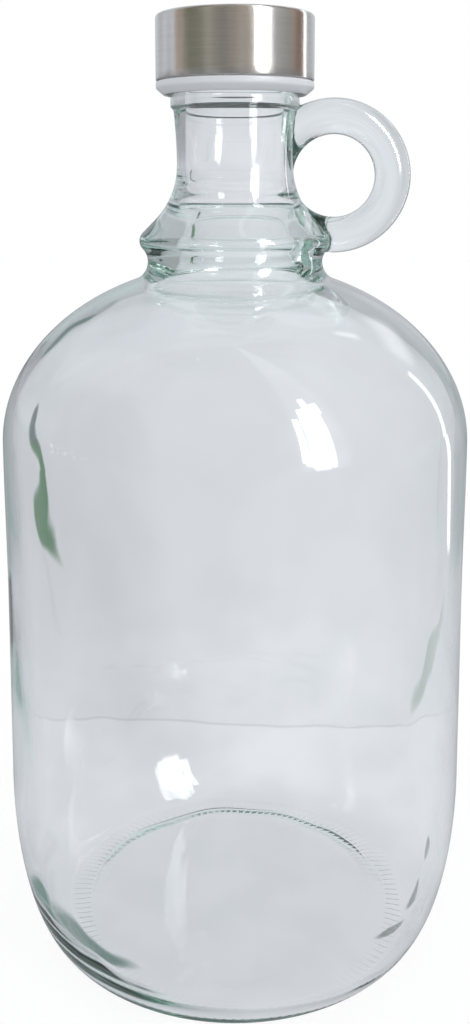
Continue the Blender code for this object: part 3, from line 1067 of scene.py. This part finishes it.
def oval(graph, azimuth, elevation, angle, half_angle, height, half_height, turn):
    """1 in the middle of a turned oval of the surroundings and 0 outside it, with a soft edge."""
    aside = graph.math("SUBTRACT", azimuth, angle)
    above = graph.math("SUBTRACT", elevation, height)
    level, tilt = math.cos(math.radians(turn)), math.sin(math.radians(turn))
    squares = []
    for first, second, half in ((level, tilt, half_angle), (-tilt, level, half_height)):
        along = graph.math("ADD", graph.times(aside, first), graph.times(above, second))
        squares.append(graph.math("POWER", graph.math("DIVIDE", graph.math("ABSOLUTE", along), half), 2.0))
    return graph.eased(graph.math("ADD", *squares), *OVAL_EDGE)


def through_glass(graph, direction, azimuth, elevation, path, straight):
    """The pale background that a ray through the glass sees, with its cards.

    A ray that runs along inside the wall has crossed the surface twice only, in more steps than one that goes
    straight through a solid piece. The background falls off for it, which paints shade into the glass's
    edges.
    """
    stage = settings("stage")
    levels = graph.ramp(azimuth, 360, [(angle, (level,) * 3) for angle, level in ROUND_LEVELS])
    around = graph.mix(graph.eased(elevation, DOWN_FROM, DOWN_TO), levels, DOWN_LEVEL)
    levels = graph.ramp(elevation, 180, [(angle, (level,) * 3) for angle, level in HIGH_LEVELS])
    seen = graph.mix(1.0, graph.mix(1.0, (*stage.pale, 1.0), around, "MULTIPLY"), levels, "MULTIPLY")
    seen = graph.mix(graph.clouds(direction, *HAZE_NOISE), seen, HAZE, "MULTIPLY")
    once = graph.math("LESS_THAN", path["Transmission Depth"], 2.5)
    wall = graph.times(once, graph.math("GREATER_THAN", path["Ray Depth"], straight + 0.5))
    whole = graph.math("SUBTRACT", 1.0, once)
    shade_falls = []
    # The wall's rays see the background fall towards black: painted shade at the glass's edges
    for start, end, share in WALL_SHADE_FALLS:
        shade_falls.append(graph.times(graph.eased(elevation, start, end), stage.painted_edge_shade * share))
    seen = graph.mix(graph.times(wall, graph.math("ADD", *shade_falls)), seen, BLACK)
    # The cards paint shade over what the glass shows of the background
    for shade_cards, shown in ((SHADE_CARDS, whole), (WALL_SHADE_CARDS, wall)):
        for *place, colour in shade_cards:
            shade_card = graph.times(oval(graph, azimuth, elevation, *place), shown)
            seen = graph.mix(shade_card, seen, (*colour, 1.0))
    return seen


def studio(graph, direction, path, straight):
    """What a ray that left the object sees in this direction.

    Rays through the glass see the pale background, and mirrored rays see the studio's bands. Both see the
    window. The last value is the ray depth that this shader counts for a ray straight through a solid piece
    of glass.
    """
    stage = settings("stage")
    x, y, z = graph.parts(direction)
    azimuth = graph.math("DEGREES", graph.math("ARCTAN2", x, graph.times(y, -1.0)))
    elevation = graph.math("DEGREES", graph.math("ARCSINE", z))
    low, high = CLOUD_LEVELS
    soft = graph.math("ADD", graph.times(graph.clouds(direction, *CLOUD_NOISE), high - low), low)
    bands = graph.ramp(azimuth, 360, BANDS)
    above = graph.eased(elevation, -HORIZON_SOFT, HORIZON_SOFT)
    mirrored = graph.mix(1.0, graph.mix(above, (*stage.table, 1.0), bands), soft, "MULTIPLY")
    through = path["Is Transmission Ray"]
    seen = graph.mix(through, mirrored, through_glass(graph, direction, azimuth, elevation, path, straight))
    panes = graph.eased(elevation, *PANES_FADE)
    strips = graph.math("SUBTRACT", 1.0, through)
    for patches, shown in ((PANES, panes), (STRIPS, strips)):
        for *place, bright in patches:
            glow = graph.times(patch(graph, azimuth, elevation, *place), bright)
            seen = graph.mix(shown, seen, glow, "ADD")
    *place, bright = GLINTS
    leaves = graph.clouds(direction, *LEAF_NOISE)
    glints = graph.times(patch(graph, azimuth, elevation, *place), leaves)
    return graph.mix(strips, seen, graph.times(glints, bright), "ADD")


def make_floor():
    """A pale floor that keeps the object's shadow and shows its own light to the camera, metal and glass."""
    stage = settings("stage")
    shape = bmesh.new()
    bmesh.ops.create_circle(shape, cap_ends=True, segments=96, radius=FLOOR_RADIUS)
    bmesh.ops.translate(shape, verts=shape.verts[:], vec=(0.0, 0.0, -FLOOR_DROP))
    floor = add_object("floor", shape)
    made = Surface("floor", base_color=(0.8, 0.8, 0.8, 1.0), roughness=0.9)
    path = made.add("ShaderNodeLightPath").outputs
    x, y, _ = made.parts(made.place)
    from_body = made.add("ShaderNodeCombineXYZ", {"X": x, "Y": y, "Z": -MIDDLE}).outputs[0]
    direction = made.add("ShaderNodeVectorMath", {0: from_body}, operation="NORMALIZE").outputs["Vector"]
    # Through the glass the floor glows with the background and its painted shade and shadow, in place of
    # being lit
    seen = studio(made, direction, path, 2)
    near = made.eased(y, stage.table_edge + EDGE_SOFT, stage.table_edge - EDGE_SOFT)
    seen = made.mix(near, seen, TABLE_SHADE, "MULTIPLY")
    off_edge = made.math("ABSOLUTE", made.math("SUBTRACT", y, stage.table_edge))
    line = made.eased(off_edge, EDGE_LINE + EDGE_SOFT, EDGE_LINE - EDGE_SOFT)
    seen = made.mix(line, seen, EDGE_SHADE, "MULTIPLY")
    colour = made.mix(path["Is Camera Ray"], seen, WHITE)
    strength = made.math("ADD", 1.0, made.times(path["Is Camera Ray"], FLOOR_GLOW))
    glow = made.add("ShaderNodeEmission", {"Color": colour, "Strength": strength})
    either = made.math("MAXIMUM", path["Is Glossy Ray"], path["Is Transmission Ray"])
    share = made.math("MAXIMUM", made.times(path["Is Camera Ray"], 1.0 - stage.shadow), either)
    mix = made.add("ShaderNodeMixShader", {0: share, 1: made.shader.outputs[0], 2: glow.outputs[0]})
    made.feed(made.output.inputs["Surface"], mix.outputs[0])
    floor.data.materials.append(made.material)


def make_world():
    """The studio round the object, white to the camera and plain to everything that it lights."""
    stage = settings("stage")
    world = bpy.data.worlds.new("studio")
    bpy.context.scene.world = world
    world.use_nodes = True
    graph = Graph(world.node_tree)
    path = graph.add("ShaderNodeLightPath").outputs
    seen = studio(graph, graph.add("ShaderNodeTexCoord").outputs["Generated"], path, 3)
    either = graph.math("MAXIMUM", path["Is Glossy Ray"], path["Is Transmission Ray"])
    lit = graph.mix(either, (*stage.fill, 1.0), seen)
    colour = graph.mix(path["Is Camera Ray"], lit, WHITE)
    graph.feed(world.node_tree.nodes["Background"].inputs["Color"], colour)


def make_lamp():
    """One large soft lamp at the window's side, which gives the shadow its direction."""
    stage = settings("stage")
    light = bpy.data.lights.new("window_light", "AREA")
    light.shape = "RECTANGLE"
    light.size, light.size_y = LAMP_SIZE
    light.energy = stage.lamp
    lamp = bpy.data.objects.new("window_light", light)
    bpy.context.scene.collection.objects.link(lamp)
    lamp.location = LAMP_PLACE
    lamp.rotation_euler = (Vector((0.0, 0.0, MIDDLE)) - lamp.location).to_track_quat("-Z", "Y").to_euler()
    lamp.visible_camera = lamp.visible_glossy = lamp.visible_transmission = False


def make_camera():
    """The photograph's camera."""
    stage = settings("stage")
    data = bpy.data.cameras.new("camera")
    data.lens = stage.lens
    data.shift_y = stage.shift
    data.clip_start = 0.01
    camera = bpy.data.objects.new("camera", data)
    bpy.context.scene.collection.objects.link(camera)
    camera.location = stage.camera_place
    camera.rotation_euler = (math.radians(90.0) - stage.camera_pitch, 0.0, 0.0)
    bpy.context.scene.camera = camera


class DEMIJOHN_OT_stage(bpy.types.Operator):
    """Makes the floor, the studio's light and the camera"""

    bl_idname = "demijohn.stage"
    bl_label = "Stage"

    def execute(self, context):
        make_floor()
        make_world()
        make_lamp()
        make_camera()
        scene = context.scene
        scene.view_settings.view_transform = "Standard"
        scene.cycles.max_bounces = BOUNCES
        scene.cycles.glossy_bounces = BOUNCES
        scene.cycles.transmission_bounces = BOUNCES
        return {"FINISHED"}


# Add-on


def length(name, description, default):
    """A property in metres."""
    return FloatProperty(name=name, description=description, default=default, unit="LENGTH", precision=5)


def number(name, description, default):
    """A property that is a plain number."""
    return FloatProperty(name=name, description=description, default=default, precision=4)


def colour(name, description, default):
    """A property that is a colour."""
    return FloatVectorProperty(name=name, description=description, default=default, subtype="COLOR", size=3)


class DemijohnGlass(bpy.types.PropertyGroup):
    """Sizes and colours of the glass"""

    body_radius: length("Body Radius", "Radius of the body's straight side", 0.0655)
    body_wall: length("Body Wall", "Thickness of the glass in the body", 0.0028)
    crown_height: length("Crown Height", "Height at which the shoulder starts", 0.145)
    shoulder_rise: length("Shoulder Rise", "Height of the shoulder's arc", 0.0495)
    shoulder_wall: length("Shoulder Wall", "Thickness of the glass at the shoulder's top", 0.005)
    heel_height: length("Heel Height", "Height at which the heel's arc ends", 0.0475)
    heel_inset: length("Heel Inset", "How far the foot lies inside the body's radius", 0.0144)
    neck_radius: length("Neck Radius", "Outer radius of the neck's narrowest part", 0.0163)
    finish_radius: length("Finish Radius", "Outer radius of the screw finish under its thread", 0.01765)
    waviness: length("Waviness", "How uneven the inside of the glass is", 0.0004)
    throat_shift: length("Throat Shift", "How far the throat's inside lies aside", 0.0004)
    floor_slant: number("Floor Slant", "How far the inside of the floor leans", 0.016)
    tint: colour("Tint", "Colour of the glass's surface", (1.0, 1.0, 1.0))
    depth_colour: colour("Depth Colour", "Colour the glass takes where it is thick", (0.61, 0.79, 0.73))
    depth: number("Depth", "How fast thick glass takes its colour", 20.0)
    refraction: number("Refraction", "Index of refraction of the glass", 1.52)


class DemijohnCap(bpy.types.PropertyGroup):
    """Colours of the cap"""

    steel: colour("Steel", "Colour of the steel shell", (0.66, 0.64, 0.61))
    plastic: colour("Plastic", "Colour of the plastic insert", (0.88, 0.89, 0.9))
    foam: colour("Foam", "Colour of the foam liner", (0.92, 0.92, 0.9))


class DemijohnStage(bpy.types.PropertyGroup):
    """Light, floor and camera"""

    pale: colour("Pale", "Colour of the background seen through the glass", (0.735, 0.75, 0.793))
    table: colour("Table", "Colour of the table mirrored in the object", (0.36, 0.37, 0.39))
    fill: colour("Fill", "Light that falls on the object from all round", (0.68, 0.7, 0.73))
    # Painted shade: how far the glass's edges are darkened
    painted_edge_shade: number("Edge Fall", "How much darker the background is through the edges of the glass", 0.25)
    shadow: number("Shadow", "How much of the floor's white the object's shadow can take", 0.16)
    lamp: FloatProperty(name="Lamp", description="Power of the lamp", default=6.0, unit="POWER")
    table_edge: length("Table Edge", "How far behind the bottle the table ends", 0.114)
    camera_place: FloatVectorProperty(
        name="Camera Place",
        description="Where the camera stands",
        default=(0.0, -0.3216, 0.2173),
        subtype="TRANSLATION",
        size=3,
        precision=4,
    )
    camera_pitch: FloatProperty(
        name="Camera Pitch",
        description="How far the camera looks down",
        default=math.radians(7.52),
        unit="ROTATION",
    )
    lens: number("Lens", "Focal length for the image's long side", 39.83)
    shift: number("Shift", "How far the frame lies below the camera's axis", -0.177)


class DEMIJOHN_PT_panel(bpy.types.Panel):
    """The demijohn's pieces and sizes in the sidebar"""

    bl_idname = "DEMIJOHN_PT_panel"
    bl_label = "Glass Demijohn"
    bl_space_type = "VIEW_3D"
    bl_region_type = "UI"
    bl_category = "Demijohn"

    def draw(self, context):
        for operator in OPERATORS:
            self.layout.operator(operator.bl_idname)
        for name in GROUPS:
            group = settings(name)
            box = self.layout.box()
            for key in group.bl_rna.properties.keys():
                if key not in ("rna_type", "name"):
                    box.prop(group, key)


GROUPS = {"glass": DemijohnGlass, "cap": DemijohnCap, "stage": DemijohnStage}
OPERATORS = (
    DEMIJOHN_OT_bottle,
    DEMIJOHN_OT_shell,
    DEMIJOHN_OT_insert,
    DEMIJOHN_OT_liner,
    DEMIJOHN_OT_stage,
)
CLASSES = (*GROUPS.values(), *OPERATORS, DEMIJOHN_PT_panel)


def register():
    for made in CLASSES:
        bpy.utils.register_class(made)
    for name, group in GROUPS.items():
        setattr(bpy.types.Scene, "demijohn_" + name, PointerProperty(type=group))


def unregister():
    for name in GROUPS:
        delattr(bpy.types.Scene, "demijohn_" + name)
    for made in reversed(CLASSES):
        bpy.utils.unregister_class(made)


def main():
    register()
    bpy.ops.demijohn.bottle()
    bpy.ops.demijohn.shell()
    bpy.ops.demijohn.insert()
    bpy.ops.demijohn.liner()
    bpy.ops.demijohn.stage()
    bpy.context.view_layer.update()


if __name__ == "__main__":
    main()
